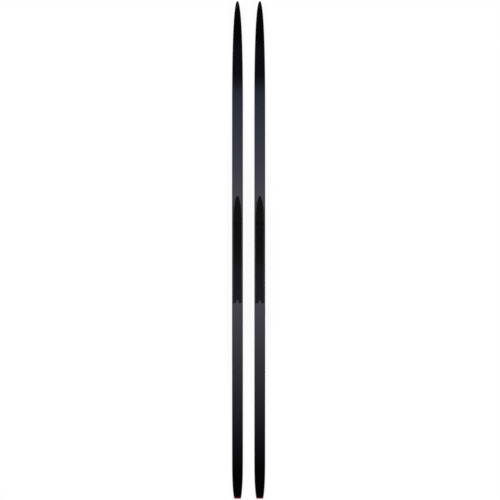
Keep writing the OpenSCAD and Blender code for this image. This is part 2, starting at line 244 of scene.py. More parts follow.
def corners(node):
    """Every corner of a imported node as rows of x, y, z, with x measured from its ski's centre line."""
    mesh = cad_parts[node].data
    flat = np.empty(3 * len(mesh.vertices), np.float32)
    mesh.vertices.foreach_get("co", flat)
    return flat.reshape(-1, 3).astype(float) - (centre_x[node.split("_")[0]], 0, 0)


def rings(node):
    """A node's corners grouped by y: the places, and in each the half width, lowest z and highest z."""
    x, y, z = corners(node).T
    places, ring = np.unique(y.round(STATION_DECIMALS), return_inverse=True)
    wide = np.zeros(len(places))
    low = np.full(len(places), np.inf)
    high = np.full(len(places), -np.inf)
    np.maximum.at(wide, ring, abs(x))
    np.minimum.at(low, ring, z)
    np.maximum.at(high, ring, z)
    return places, wide, low, high


stations, half_width, skin_low, core_low = rings("left_lower_laminate")
core_high, skin_high = rings("left_upper_laminate")[2:]
sheet_top = rings("left_topsheet")[3]
base_places, _, base_low, _ = rings("left_base")
base_low = base_low[np.isin(base_places, stations)]
print(len(stations), "stations from", stations[0], "to", stations[-1])
print("thickest place in mm:", round(1000 * np.max(sheet_top - base_low), 2))

# %% [markdown]
# Smooth curves through the stations.
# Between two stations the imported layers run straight, which shows as faint kinks in a long reflection. A
# cubic through the same heights takes them out. A plain spline would swing past the flat stretches that the
# ski stands on, so this one takes the harmonic mean of the neighbouring slopes and never overshoots.

# %% Curves along the ski
FINEST_STEP = 0.005  # metres between two rings of a surface
STEP_SLACK = 1e-6  # of a step, so that a gap of whole steps isn't split once more


def smooth(at, knots, values):
    """Monotone cubic: each span is a Hermite curve, and a knot's slope is the harmonic mean of the two
    chords that meet there, or level where they turn."""
    step = np.diff(knots)
    chord = np.diff(values) / step
    before = chord[:-1]
    after = chord[1:]
    onward = before * after > 0
    inner = np.where(onward, 2 * before * after / np.where(onward, before + after, 1), 0)
    slope = np.concatenate([chord[:1], inner, chord[-1:]])
    i = np.clip(np.searchsorted(knots, at, side="right") - 1, 0, len(step) - 1)
    u = (at - knots[i]) / step[i]
    start = values[i] * (1 + 2 * u) + slope[i] * step[i] * u
    end = values[i + 1] * (3 - 2 * u) + slope[i + 1] * step[i] * (u - 1)
    return start * (1 - u) ** 2 + end * u ** 2


def filled(marks, step):
    """The marks in rising order, with even steps no longer than step between them."""
    marks = np.unique(marks)
    gap = np.diff(marks)
    parts = np.ceil(gap / step - STEP_SLACK).astype(int)
    first = np.repeat(np.cumsum(parts) - parts, parts)
    share = (np.arange(parts.sum()) - first) / np.repeat(parts, parts)
    return np.append(np.repeat(marks[:-1], parts) + share * np.repeat(gap, parts), marks[-1])


along = filled(stations, FINEST_STEP)
half = smooth(along, stations, half_width)
layer_heights = (base_low, skin_low, core_low, core_high, skin_high, sheet_top)
z_base, z_skin_low, z_core_low, z_core_high, z_skin_high, z_top = (
    smooth(along, stations, heights) for heights in layer_heights)
print(len(along), "rings along a ski")

# %% [markdown]
# Sections carried along the ski.
# Nearly every piece of a ski is one section, drawn once and carried from tail to tip while it grows and
# shrinks. As an array that is rings by points by (x, z), and the quads between neighbouring rings follow from
# the numbering alone. A loop could list them, but rolling the array of numbers by one gives them all at once.

# %% Helpers for sections
def point(x, z):
    """One point of a section at every ring."""
    return np.stack(np.broadcast_arrays(x, z), -1)


def rounded(before, corner, after, steps=6):
    """A rounded corner at every ring: the quadratic curve from before to after that leans on the corner."""
    u = np.linspace(0, 1, steps)[:, None]
    return (1 - u) ** 2 * before[:, None] + 2 * u * (1 - u) * corner[:, None] + u ** 2 * after[:, None]


def section(*parts):
    """Points and curves joined into one section at every ring, clockwise seen from the tail."""
    return np.concatenate([part.reshape(len(part), -1, 2) for part in parts], axis=1)


def whole(right):
    """A whole section from its right half: that half, then its mirror image in the opposite order."""
    return np.concatenate([right, right[:, ::-1] * (-1, 1)], axis=1)


def carried(y, sections, edge):
    """A section carried along y, with quads from ring to ring and a cap at each end. edge says how near each
    point is to an edge that wears. Gives the points, the faces and the edge value of every point."""
    x = sections[..., 0]
    z = sections[..., 1]
    points = np.stack(np.broadcast_arrays(x, y[:, None], z), -1).reshape(-1, 3)
    number = np.arange(x.size).reshape(x.shape)
    beside = np.roll(number, -1, axis=1)
    quads = np.stack([number[:-1], beside[:-1], beside[1:], number[1:]], -1).reshape(-1, 4)
    faces = quads.tolist() + [number[0, ::-1].tolist(), number[-1].tolist()]
    return points, faces, np.broadcast_to(edge, x.shape).ravel()


# %% [markdown]
# Placing a surface on the frame.
# A surface is worked out once, about a ski's own centre line, and placed on each ski. It rides on that ski's
# body, stands in for the imported node of the same name, which is hidden, and takes the finish it is given.
# Points that fall on each other are merged, so that a shape which closes on itself is closed in the mesh too.

# %% Helpers that put a surface on a ski
SHARP_ANGLE = math.radians(32)
SAME_POINT = 1e-6  # metres within which two points are one


def place(side, node, shape, finish, sharp=SHARP_ANGLE):
    """A new piece on one ski from points, faces and edge values, in place of that ski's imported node. Edges
    that turn by more than the angle sharp stay sharp."""
    points, faces, edge = shape
    mesh = bpy.data.meshes.new(f"{side}_{node}_surface")
    mesh.from_pydata((points + (centre_x[side], 0, 0)).tolist(), [], faces)
    mesh.attributes.new("edge", "FLOAT", "POINT").data.foreach_set("value", edge.astype(np.float32))
    shell = bmesh.new()
    shell.from_mesh(mesh)
    bmesh.ops.remove_doubles(shell, verts=shell.verts, dist=SAME_POINT)
    shell.to_mesh(mesh)
    shell.free()
    mesh.shade_smooth()
    mesh.set_sharp_from_angle(angle=sharp)
    mesh.materials.append(finish)
    made = bpy.data.objects.new(mesh.name, mesh)
    scene.collection.objects.link(made)
    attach(made, side + "_ski")
    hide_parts(f"{side}_{node}")
    return made


def place_both(node, shape, finish, sharp=SHARP_ANGLE):
    """The same surface on both skis."""
    for side in SIDES:
        made = place(side, node, shape, finish, sharp)
    print(node, "faces on each ski:", len(made.data.polygons))


# %% [markdown]
# Streaks and grain.
# Ground bases, milled sidewalls, planed wood and a printed film all have fine streaks along the ski, and all
# moulded pieces have the same eroded grain. Copying those nodes into each material would work, but then every
# change would be made many times. So an effect that several finishes share is a node group with its sizes as
# inputs, built once and placed in each finish with its own values.

# %% Streaks and moulded grain
CLOUDS_PER_METRE = 35.0


def new_group(name, inputs, outputs):
    """An empty shader node group with float sockets of these names, its input node and its coordinates."""
    group = bpy.data.node_groups.new(name, "ShaderNodeTree")
    for label in inputs:
        group.interface.new_socket(label, in_out="INPUT", socket_type="NodeSocketFloat")
    for label in outputs:
        group.interface.new_socket(label, in_out="OUTPUT", socket_type="NodeSocketFloat")
    given = wire(group, "NodeGroupInput").outputs
    return group, given, wire(group, "ShaderNodeTexCoord").outputs["Object"]


def streak_group():
    """Noise drawn out along the ski: Object coordinates times (Across, Along, Across)."""
    group, given, spot = new_group("lengthwise streaks", ["Across", "Along"], ["Value"])
    factors = {"X": given["Across"], "Y": given["Along"], "Z": given["Across"]}
    scale = wire(group, "ShaderNodeCombineXYZ", factors).outputs[0]
    drawn = wire(group, "ShaderNodeVectorMath", {0: spot, 1: scale}, operation="MULTIPLY").outputs[0]
    looks = {"Vector": drawn, "Scale": 1.0, "Detail": 3.0, "Roughness": 0.6}
    noise = wire(group, "ShaderNodeTexNoise", looks)
    wire(group, "NodeGroupOutput", {"Value": noise.outputs["Fac"]})
    return group


def grain_group():
    """Moulded grain: small rounded pits of a given size with finer noise on them, and slow clouds of tone."""
    group, given, spot = new_group("moulded grain", ["Pits Per Metre"], ["Height", "Tone"])
    pits = wire(group, "ShaderNodeTexVoronoi", {"Vector": spot, "Scale": given["Pits Per Metre"]})
    looks = {"Vector": spot, "Scale": given["Pits Per Metre"], "Detail": 4.0}
    noise = wire(group, "ShaderNodeTexNoise", looks)
    clouds = wire(group, "ShaderNodeTexNoise", {"Vector": spot, "Scale": CLOUDS_PER_METRE, "Detail": 3.0})
    height = sums(group, "ADD", pits.outputs["Distance"], noise.outputs["Fac"])
    wire(group, "NodeGroupOutput", {"Height": height, "Tone": clouds.outputs["Fac"]})
    return group


streaks = streak_group()
grain = grain_group()
print("nodes in", streaks.name, "and", grain.name + ":", len(streaks.nodes), len(grain.nodes))

# %% [markdown]
# Weave and wear.
# Carbon and glass are both woven as twill: a tow passes over two others and under the next two, one step
# further in each row, which gives slanting ribs. A bought texture of that would be an image, and a wave
# texture has no weave, so the weave is worked out from counted tows. Wear follows the edge value that each
# surface carries, broken up by noise, because handling rubs edges first and never evenly.

# %% Twill and edge wear
WEAR_PER_METRE = 120.0  # spots of wear
WORN_SPAN = (0.3, 0.65)  # edge value times noise where wear starts, and where it is full


def twill_group():
    """Two-over-two twill: with whole tows counted across and along, the tow on top runs along the ski
    where their sum modulo four is under two. Height is each tow's own round back."""
    group, given, spot = new_group("twill", ["Tows Per Metre"], ["Lengthwise", "Height"])
    counting = {0: spot, "Scale": given["Tows Per Metre"]}
    counted = wire(group, "ShaderNodeVectorMath", counting, operation="SCALE").outputs[0]
    part = wire(group, "ShaderNodeSeparateXYZ", {0: counted}).outputs
    tow_x, tow_y = (wire(group, "ShaderNodeMath", {0: part[axis]}, operation="FLOOR").outputs[0]
                    for axis in ("X", "Y"))
    steps = sums(group, "FLOORED_MODULO", sums(group, "ADD", tow_x, tow_y), 4.0)
    lengthwise = sums(group, "LESS_THAN", steps, 1.5)
    long_back = sums(group, "PINGPONG", part["X"], 0.5)
    cross_back = sums(group, "PINGPONG", part["Y"], 0.5)
    # The Mix node takes plain values in its inputs 2 and 3.
    height = wire(group, "ShaderNodeMix", {0: lengthwise, 2: cross_back, 3: long_back}).outputs[0]
    wire(group, "NodeGroupOutput", {"Lengthwise": lengthwise, "Height": height})
    return group


def wear_group():
    """How worn a place is: its edge value times noise, of which only the strongest spots count."""
    group, given, spot = new_group("edge wear", ["Amount"], ["Worn"])
    edge = wire(group, "ShaderNodeAttribute", attribute_name="edge").outputs["Fac"]
    looks = {"Vector": spot, "Scale": WEAR_PER_METRE, "Detail": 6.0, "Roughness": 0.65}
    noise = wire(group, "ShaderNodeTexNoise", looks)
    spots = ramp(group, sums(group, "MULTIPLY", edge, noise.outputs["Fac"]), *WORN_SPAN)
    wire(group, "NodeGroupOutput", {"Worn": sums(group, "MULTIPLY", spots, given["Amount"])})
    return group


twill = twill_group()
wear = wear_group()
print("nodes in", twill.name, "and", wear.name + ":", len(twill.nodes), len(wear.nodes))

# %% [markdown]
# From effects to a finish.
# A finish is one Principled shader. What is the same all over it, such as the weight of a lacquer, is set on
# the shader's own socket. What changes over the surface, its colour, its roughness and its fine relief, comes
# from the groups. Ten finishes would repeat the same lines for that, so four helpers take them up.

# %% Helpers for finishes
def blank_finish(name, **fixed):
    """A new material, its node tree and its Principled shader, with the values that hold all over it."""
    made = bpy.data.materials.new(name)
    made.use_nodes = True
    shader = made.node_tree.nodes["Principled BSDF"]
    for socket, value in fixed.items():
        shader.inputs[socket.replace("_", " ")].default_value = value
    return made, made.node_tree, shader


def use(tree, group, **values):
    """A node group placed in a material with its own values. Gives its outputs."""
    inputs = {label.replace("_", " "): value for label, value in values.items()}
    return wire(tree, "ShaderNodeGroup", inputs, node_tree=group).outputs


def feed(tree, shader, colour, roughness, height, strength, distance):
    """Links a colour, a roughness and a bump into a shader. distance is the bump's full height in metres."""
    bump = wire(tree, "ShaderNodeBump", {"Height": height, "Strength": strength, "Distance": distance})
    tree.links.new(colour, shader.inputs["Base Color"])
    tree.links.new(roughness, shader.inputs["Roughness"])
    tree.links.new(bump.outputs[0], shader.inputs["Normal"])


def along_ski(tree):
    """How far along the ski a place is, in metres from the middle."""
    spot = wire(tree, "ShaderNodeTexCoord").outputs["Object"]
    return wire(tree, "ShaderNodeSeparateXYZ", {0: spot}).outputs["Y"]


# %% [markdown]
# The printed topsheet.
# The top is a thin printed film under a clear lacquer. Its print is slate grey round the binding plate.
# Behind, it fades evenly to black before the tail. In front it turns a little bluer and darker, falls in one
# soft step to a dark blue grey where the tip begins to turn up, and in a second step to black. A painted
# picture of that would be an image file, and a colour ramp with many stops would only be a table. Four ramps
# along the ski, multiplied and mixed, say how the print is built and can be changed one by one.

# %% Topsheet finish
SLATE = (0.0595, 0.0605, 0.0760, 1)
FRONT_SLATE = (0.0252, 0.0285, 0.0445, 1)
FILM_BLACK = (0.0004, 0.0004, 0.0012, 1)
WORN_FILM = (0.08, 0.08, 0.09, 1)
NOISE_SPAN = (0.2, 0.8)  # nearly all of a noise lies between these
FILM_ROUGH = (0.10, 0.15)
WORN_ROUGHER = 0.3  # roughness that full wear adds
SILK_TONE = (0.92, 1.08)  # darkest and palest streak in the print
PLATE_FRONT = 0.222  # metres along the ski from its middle
PLATE_REAR = -0.218
REAR_BLACK = -0.908
REAR_FALL = 1.45  # power of the rear fade
FRONT_FALL = 0.8  # power of the front one
FRONT_STEP = (0.598, 0.719)
FRONT_REST = 0.11  # share of the print that is left after the first step
TIP_STEP = (0.800, 0.868)


def topsheet_finish():
    """Slate print that falls to black along the ski, silky streaks, a satin lacquer and pale worn edges."""
    made, tree, shader = blank_finish("topsheet", Coat_Weight=0.25, Coat_Roughness=0.12)
    y = along_ski(tree)
    silk = use(tree, streaks, Across=1400.0, Along=7.0)["Value"]
    worn = use(tree, wear, Amount=0.4)["Worn"]
    ahead = sums(tree, "POWER", ramp(tree, y, PLATE_FRONT, FRONT_STEP[0]), FRONT_FALL)
    behind = sums(tree, "POWER", ramp(tree, y, REAR_BLACK, PLATE_REAR), REAR_FALL)
    front_step = ramp(tree, y, *FRONT_STEP, 1.0, FRONT_REST, "SMOOTHSTEP")
    tip_step = ramp(tree, y, *TIP_STEP, 1.0, 0.0, "SMOOTHSTEP")
    printed = sums(tree, "MULTIPLY", behind, sums(tree, "MULTIPLY", front_step, tip_step))
    tone = sums(tree, "MULTIPLY", printed, ramp(tree, silk, *NOISE_SPAN, *SILK_TONE))
    colour = between(tree, tone, FILM_BLACK, between(tree, ahead, SLATE, FRONT_SLATE))
    colour = between(tree, worn, colour, WORN_FILM)
    roughness = ramp(tree, silk, *NOISE_SPAN, *FILM_ROUGH)
    roughness = sums(tree, "ADD", roughness, sums(tree, "MULTIPLY", worn, WORN_ROUGHER))
    feed(tree, shader, colour, roughness, silk, strength=0.1, distance=0.00002)
    return made


film = topsheet_finish()
print("nodes in the topsheet's finish:", len(film.node_tree.nodes))

# %% [markdown]
# The topsheet's shape.
# The film covers the top and turns down over a bevel at each long edge, which the maker mills at 45 degrees
# after pressing. A Bevel modifier would round the milled corner, but it can't follow the ski's changing
# thickness. The section has the corner drawn in as a small round shoulder, and the places just inside it
# carry the edge value for the wear.

# %% Topsheet
SHOULDER = 0.0004  # metres from the milled corner to where its rounding starts
RUBBED_WIDTH = 0.002  # metres inside the corner that hands and straps reach
SHEET_EDGE = np.array([0, 0.6, 0.85, 1, 1, 1, 0.9, 0.4])  # from the flat top down over the bevel


def topsheet_shape():
    """Section: flat top, round shoulder at the milled corner, and the 45 degree bevel down to the skin."""
    bevel = z_top - z_core_high
    skin = z_skin_high - z_core_high
    shoulder = rounded(point(half - bevel - SHOULDER, z_top), point(half - bevel, z_top),
                       point(half - bevel + SHOULDER, z_top - SHOULDER))
    right = section(point(half - bevel - RUBBED_WIDTH, z_top), shoulder, point(half - skin, z_skin_high))
    return carried(along, whole(right), np.concatenate([SHEET_EDGE, SHEET_EDGE[::-1]]))


place_both("topsheet", topsheet_shape(), film)

# %% [markdown]
# The carbon skins.
# Above and below the core lies a skin of woven carbon in cured resin. Only its cut edge shows, a line less
# than a millimetre high along each side, and the upper one is milled at 45 degrees with the topsheet. A dark
# line painted on the sidewall would look alike from afar, but close up a skin has its own weave and gloss, so
# each is a thin band of its own, carried along the same curves as its neighbours.

# %% Carbon finish and skins
CARBON_TOWS = 500.0  # a metre
CARBON_DARK = (0.008, 0.008, 0.009, 1)
CARBON_PALE = (0.028, 0.029, 0.032, 1)
CARBON_ROUGH = (0.3, 0.45)
FIBRE_SPAN = (0.3, 0.8)  # streak values over which a fibre darkens
FIBRE_SHADE = 0.5  # share of the dark in the darkest fibre


def carbon_finish():
    """Twill tows, paler where they run along the ski, with fine fibre streaks under clear resin."""
    made, tree, shader = blank_finish("carbon", Coat_Weight=0.4, Coat_Roughness=0.15)
    weave = use(tree, twill, Tows_Per_Metre=CARBON_TOWS)
    fibre = use(tree, streaks, Across=6000.0, Along=60.0)["Value"]
    colour = between(tree, weave["Lengthwise"], CARBON_DARK, CARBON_PALE)
    colour = between(tree, ramp(tree, fibre, *FIBRE_SPAN, 0.0, FIBRE_SHADE), colour, CARBON_DARK)
    roughness = ramp(tree, fibre, *NOISE_SPAN, *CARBON_ROUGH)
    feed(tree, shader, colour, roughness, weave["Height"], strength=0.4, distance=0.00005)
    return made


def lower_skin_shape():
    """Section: a thin upright-edged band as wide as the ski."""
    right = section(point(half, z_core_low), point(half, z_skin_low))
    return carried(along, whole(right), 0.0)


def upper_skin_shape():
    """Section: a thin band whose edges are milled at 45 degrees."""
    skin = z_skin_high - z_core_high
    right = section(point(half - skin, z_skin_high), point(half, z_core_high))
    return carried(along, whole(right), 0.0)


carbon = carbon_finish()
place_both("lower_laminate", lower_skin_shape(), carbon)
place_both("upper_laminate", upper_skin_shape(), carbon)

# %% [markdown]
# The sidewalls.
# A strip of hard black plastic closes each side of the wood core, from the tail's filler to the tip's. It is
# milled flush after pressing, so it shows fine lines along the ski. It follows the outline of the ski, so the
# same curves that carry the layers carry it.

# %% Sidewall finish and strips
SIDEWALL_BLACK = (0.0075, 0.0075, 0.0085, 1)
SIDEWALL_PALE = (0.016, 0.016, 0.0175, 1)
SIDEWALL_ROUGH = (0.36, 0.52)
MILLED_SPAN = (0.25, 0.8)  # streak values over which a milled line turns pale


def sidewall_finish():
    """Black plastic with pale milled lines along the ski."""
    made, tree, shader = blank_finish("sidewall")
    lines = use(tree, streaks, Across=2500.0, Along=9.0)["Value"]
    colour = between(tree, ramp(tree, lines, *MILLED_SPAN), SIDEWALL_BLACK, SIDEWALL_PALE)
    roughness = ramp(tree, lines, *NOISE_SPAN, *SIDEWALL_ROUGH)
    feed(tree, shader, colour, roughness, lines, strength=0.3, distance=0.00003)
    return made


def sidewall_shape(sign):
    """Section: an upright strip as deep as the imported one, flush with the outline on the side of sign."""
    wall = corners("left_inner_sidewall")
    ends = wall[:, 1].min(), wall[:, 1].max()
    depth = np.ptp(wall[wall[:, 1] < ends[0] + SAME_POINT, 0])
    here = (along > ends[0] - SAME_POINT) & (along < ends[1] + SAME_POINT)
    outer, inner, low, high = half[here], half[here] - depth, z_core_low[here], z_core_high[here]
    strip = section(point(inner, high), point(outer, high), point(outer, low), point(inner, low))
    if sign < 0:
        strip = strip[:, ::-1] * (-1, 1)
    return carried(along[here], strip, 0.0)


sidewall = sidewall_finish()
for side, outward in (("left", -1), ("right", 1)):
    place(side, "outer_sidewall", sidewall_shape(outward), sidewall)
    strip_piece = place(side, "inner_sidewall", sidewall_shape(-outward), sidewall)
print("sidewall faces on each strip:", len(strip_piece.data.polygons))

# %% [markdown]
# The running base.
# The base is a sheet of sintered black plastic, ground on a stone that leaves fine lines along the ski. It
# turns a paler grey in clouds where it has dried out. The lines could be modelled, but they are far finer
# than a millimetre, so they are a bump, and the clouds and the lines together make the grey.

# %% Base finish
BASE_BLACK = (0.0085, 0.0085, 0.0095, 1)
BASE_GREY = (0.021, 0.021, 0.0225, 1)
BASE_ROUGH = (0.42, 0.6)
DRY_CLOUDS = (0.3, 0.75)  # cloud and streak values over which the base turns grey
DRY_LINES = (0.25, 0.75)


def base_finish():
    """Sintered black with stone-ground lines, and clouds of the paler grey that dry base has."""
    made, tree, shader = blank_finish("base", Specular_IOR_Level=0.4)
    lines = use(tree, streaks, Across=3200.0, Along=20.0)["Value"]
    clouds = use(tree, grain, Pits_Per_Metre=2500.0)["Tone"]
    dry = sums(tree, "MULTIPLY", ramp(tree, clouds, *DRY_CLOUDS), ramp(tree, lines, *DRY_LINES))
    colour = between(tree, dry, BASE_BLACK, BASE_GREY)
    roughness = ramp(tree, lines, *NOISE_SPAN, *BASE_ROUGH)
    feed(tree, shader, colour, roughness, lines, strength=0.5, distance=0.00004)
    return made


ground_base = base_finish()
print("nodes in the base's finish:", len(ground_base.node_tree.nodes))

# %% [markdown]
# The sole and its groove.
# A round groove down the middle of the base keeps the ski straight. It could be cut with a boolean, but it
# runs out to nothing before the tip, and a boolean leaves ragged slivers there. It is drawn into the section
# instead: half an ellipse that sinks below the sole as it nears its front end.

# %% Sole
GROOVE_HALF = 0.0045  # metres
GROOVE_DEPTH = 0.001
GROOVE_FRONT = 0.803
GROOVE_FADE = 0.06
GROOVE_TURN = 0.48 * math.pi  # just short of the middle, where its two halves would touch
GROOVE_POINTS = 9
SOLE_EDGE = 0.00025
EDGE_STRIP = 0.0006  # metres of a flat face that turn with its edge


def eased(u):
    """A smooth step from 0 to 1."""
    return (1 - np.cos(np.pi * np.clip(u, 0, 1))) / 2


def base_shape():
    """Section: upright sides, a small round edge, a flat sole, and a groove whose roof over the sole is
    depth * sqrt(1 - (x / half width)^2) less how far the groove has sunk. Two points a strip's width inside
    the sole's edges keep it flat."""
    turn = np.linspace(0, GROOVE_TURN, GROOVE_POINTS)
    sunk = GROOVE_DEPTH * eased(1 - (GROOVE_FRONT - along) / GROOVE_FADE)
    roof = np.maximum(0, GROOVE_DEPTH * np.sin(turn) - sunk[:, None])
    groove = point(GROOVE_HALF * np.cos(turn), z_base[:, None] + roof)
    corner = rounded(point(half, z_base + SOLE_EDGE), point(half, z_base), point(half - SOLE_EDGE, z_base),
                     steps=4)
    sole = section(point(half - SOLE_EDGE - EDGE_STRIP, z_base), point(GROOVE_HALF + EDGE_STRIP, z_base))
    right = section(point(half, z_skin_low), corner, sole, groove)
    return carried(along, whole(right), 0.0)


place_both("base", base_shape(), ground_base)

# %% [markdown]
# Moulded plastic.
# The tip guard, the tail protector and the fillers are moulded. The mould's eroded wall leaves small round
# pits, cooling leaves slow clouds of tone, and edges that take knocks are polished and paler. The pieces
# differ only in their colours, in the size of the pits and in how worn they are, so one function makes all of
# their finishes.

# %% Moulded finish
CLOUD_SPAN = (0.3, 0.7)  # cloud values over which the plastic goes from its deep tone to its pale one
GRAIN_SPAN = (0.3, 1.1)  # heights from the pits to the tops of the grain
GRAIN_ROUGH = (-0.05, 0.07)  # what pits and tops add to the roughness
POLISH = 0.1  # roughness that full wear takes away


def moulded_finish(name, deep, pale, pits, rough, worn_colour, worn_amount):
    """Moulded plastic: eroded grain, slow clouds between two tones, and wear along the edges."""
    made, tree, shader = blank_finish(name, Specular_IOR_Level=0.35)
    skin = use(tree, grain, Pits_Per_Metre=pits)
    worn = use(tree, wear, Amount=worn_amount)["Worn"]
    colour = between(tree, ramp(tree, skin["Tone"], *CLOUD_SPAN), deep, pale)
    colour = between(tree, worn, colour, worn_colour)
    smoothest, dullest = (rough + change for change in GRAIN_ROUGH)
    dull = ramp(tree, skin["Height"], *GRAIN_SPAN, smoothest, dullest)
    roughness = sums(tree, "SUBTRACT", dull, sums(tree, "MULTIPLY", worn, POLISH))
    feed(tree, shader, colour, roughness, skin["Height"], strength=0.35, distance=0.00003)
    return made


# %% [markdown]
# The ends of the ski.
# The tip guard and the tail protector are built alike. At the seam the section is that of the ski, its bevels
# swell into round edges towards the end, and a tongue is glued between the skins. A Subdivision Surface
# would round the seam as well, which has to stay flush with the ski. So each corner is drawn as a curve whose
# control point moves from the middle of the bevel out to the corner.

# %% Helpers for the end pieces
LEVEL = 1e-5  # metres within which two corners are level
MOST_STRIP = 0.3  # of a face's half width, the most that its edge strip may take


def flat_half(node, places, level):
    """Half width of a node's flat top or bottom at each place: its widest corner at that level."""
    x, y, z = corners(node).T
    ring = np.searchsorted(places, y.round(STATION_DECIMALS))
    on_level = abs(z - level[ring]) < LEVEL
    widest = np.zeros(len(places))
    np.maximum.at(widest, ring[on_level], abs(x[on_level]))
    return widest


def end_section(wide, low, high, low_cut, high_cut, full):
    """Section of an end piece. Each corner is cut back by its cut, and the cut bulges from a straight bevel
    where full is 0 to a full round where it is 1. A point a strip's width away on either side of a corner
    keeps the faces flat between their edges."""
    def cut_corner(z, cut, inward):
        flat = wide - cut
        before = point(flat, z)
        after = point(wide, z + inward * cut)
        control = point(wide, z) * full[:, None] + (before + after) / 2 * (1 - full[:, None])
        on_flat = point(flat - np.minimum(EDGE_STRIP, MOST_STRIP * flat), z)
        on_side = point(wide, z + inward * (cut + EDGE_STRIP))
        return section(on_flat, rounded(before, control, after), on_side)

    return whole(section(cut_corner(high, high_cut, -1), cut_corner(low, low_cut, 1)[:, ::-1]))


def tongue_rings(seam_section, tongue_half, low, high, seam):
    """Rings of the hidden tongue: the seam's section pressed into the tongue's oblong, at each height."""
    x = np.clip(seam_section[:, 0], -tongue_half, tongue_half)
    share = np.clip((seam_section[:, 1] - low[seam]) / (high[seam] - low[seam]), 0, 1)
    return point(x, low[:, None] + share * (high - low)[:, None])


# %% [markdown]
# The tip guard.
# The nose of the ski is a moulded piece of tough black plastic. Its outline closes like an arch, so rings at
# even steps along the ski would leave the blunt end with almost no rings. The rings crowd towards the end
# instead, by a square law, and the last of them shrink on a quarter circle, which rounds the end over in
# every direction.

# %% Tip guard
GUARD_BLACK = (0.0016, 0.0016, 0.0022, 1)
GUARD_GREY = (0.0028, 0.0028, 0.0035, 1)
GUARD_WORN = (0.02, 0.02, 0.022, 1)
NOSE_ROUND = 0.0012  # metres
GUARD_STEPS = 72
MOST_CUT = 0.9  # of the half width, the most that a corner's cut may take
END_EDGE = np.tile([0, 0.4, 0.8, 1, 1, 0.8, 0.4, 0], 4)  # over each of a section's four corners
END_SHARP = math.radians(50)  # so that a bevel runs smoothly into a round edge


def tip_guard_shape():
    """A section that shrinks towards the nose: y = tip - length * (1 - u)^2, and the last stretch r is drawn
    in by r * (1 - sqrt(1 - v^2)), where v goes from 0 to 1 along it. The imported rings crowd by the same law,
    so a ring's number grows evenly with u."""
    places, wide, low, high = rings("left_tip_guard")
    cuts = [wide - flat_half("left_tip_guard", places, level) for level in (low, high)]
    seam = np.searchsorted(places, stations[-1] - SAME_POINT)
    count = np.arange(len(places) - seam)
    u = np.linspace(0, 1, GUARD_STEPS + 1)
    y = places[-1] - (places[-1] - places[seam]) * (1 - u) ** 2
    wide_at, low_at, high_at, low_cut, high_cut = (
        smooth(u * count[-1], count, values[seam:]) for values in (wide, low, high, *cuts))
    v = np.clip(1 - (places[-1] - y) / NOSE_ROUND, 0, 1)
    drawn_in = NOSE_ROUND * (1 - np.sqrt(1 - v ** 2))
    wide_at = wide_at - drawn_in
    low_cut, high_cut = (np.minimum(cut, MOST_CUT * wide_at) for cut in (low_cut, high_cut))
    rings_ahead = end_section(wide_at, low_at + drawn_in, high_at - drawn_in, low_cut, high_cut, u)
    tongue_low = np.append(low[:seam], z_core_low[-1])
    tongue_high = np.append(high[:seam], z_core_high[-1])
    tongue = tongue_rings(rings_ahead[0], wide[0], tongue_low, tongue_high, -1)
    return carried(np.append(places[:seam + 1], y), np.concatenate([tongue, rings_ahead]), END_EDGE)


guard_finish = moulded_finish("tip_guard", GUARD_BLACK, GUARD_GREY, pits=900.0, rough=0.2,
                              worn_colour=GUARD_WORN, worn_amount=0.4)
place_both("tip_guard", tip_guard_shape(), guard_finish, END_SHARP)

# %% [markdown]
# The tail protector.
# The square tail ends in a short red block, the one coloured thing on the ski, with the same kind of tongue.
# Its rear edge takes every knock when the ski is stood up, so it is rounded all the way round and rubbed
# paler. A Bevel modifier could round it, but it would round the seam too. So the last rings are drawn in on a
# quarter circle, as on the tip guard.

# %% Tail protector
TAIL_RED = (0.15, 0.0016, 0.0026, 1)
TAIL_DEEP_RED = (0.118, 0.0012, 0.002, 1)
TAIL_WORN = (0.2, 0.011, 0.011, 1)
TAIL_ROUND = 0.0012  # metres
TAIL_ROUND_RINGS = 11
TAIL_RINGS = 5  # from the rounding to the seam


def tail_protector_shape():
    """A section drawn in by r * (1 - sqrt(1 - v^2)) over the last stretch r, where v goes from 0 to 1 at the
    end."""
    places, wide, low, high = rings("left_tail_protector")
    cuts = [wide - flat_half("left_tail_protector", places, level) for level in (low, high)]
    seam = np.searchsorted(places, stations[0] - SAME_POINT)
    v = np.cos(np.linspace(0, np.pi / 2, TAIL_ROUND_RINGS))
    onward = np.linspace(places[0] + TAIL_ROUND, places[seam], TAIL_RINGS + 1)[1:]
    y = np.append(places[0] + TAIL_ROUND * (1 - v), onward)
    drawn_in = np.append(TAIL_ROUND * (1 - np.sqrt(1 - v ** 2)), np.zeros(TAIL_RINGS))
    share = (y - places[1]) / (places[seam] - places[1])
    wide_at, low_at, high_at = (
        values[1] + share * (values[seam] - values[1]) for values in (wide, low, high))
    share = np.clip(share, 0, 1)
    low_cut, high_cut = (cut[1] + share * (cut[seam] - cut[1]) for cut in cuts)
    rings_behind = end_section(wide_at - drawn_in, low_at + drawn_in, high_at - drawn_in, low_cut, high_cut,
                               1 - share)
    tongue_low = np.insert(low[seam + 1:], 0, z_core_low[0])
    tongue_high = np.insert(high[seam + 1:], 0, z_core_high[0])
    tongue = tongue_rings(rings_behind[-1], wide[-1], tongue_low, tongue_high, 0)
    return carried(np.append(y, places[seam:]), np.concatenate([rings_behind, tongue]), END_EDGE)


red_finish = moulded_finish("tail_protector", TAIL_DEEP_RED, TAIL_RED, pits=700.0, rough=0.2,
                            worn_colour=TAIL_WORN, worn_amount=0.4)
place_both("tail_protector", tail_protector_shape(), red_finish, END_SHARP)

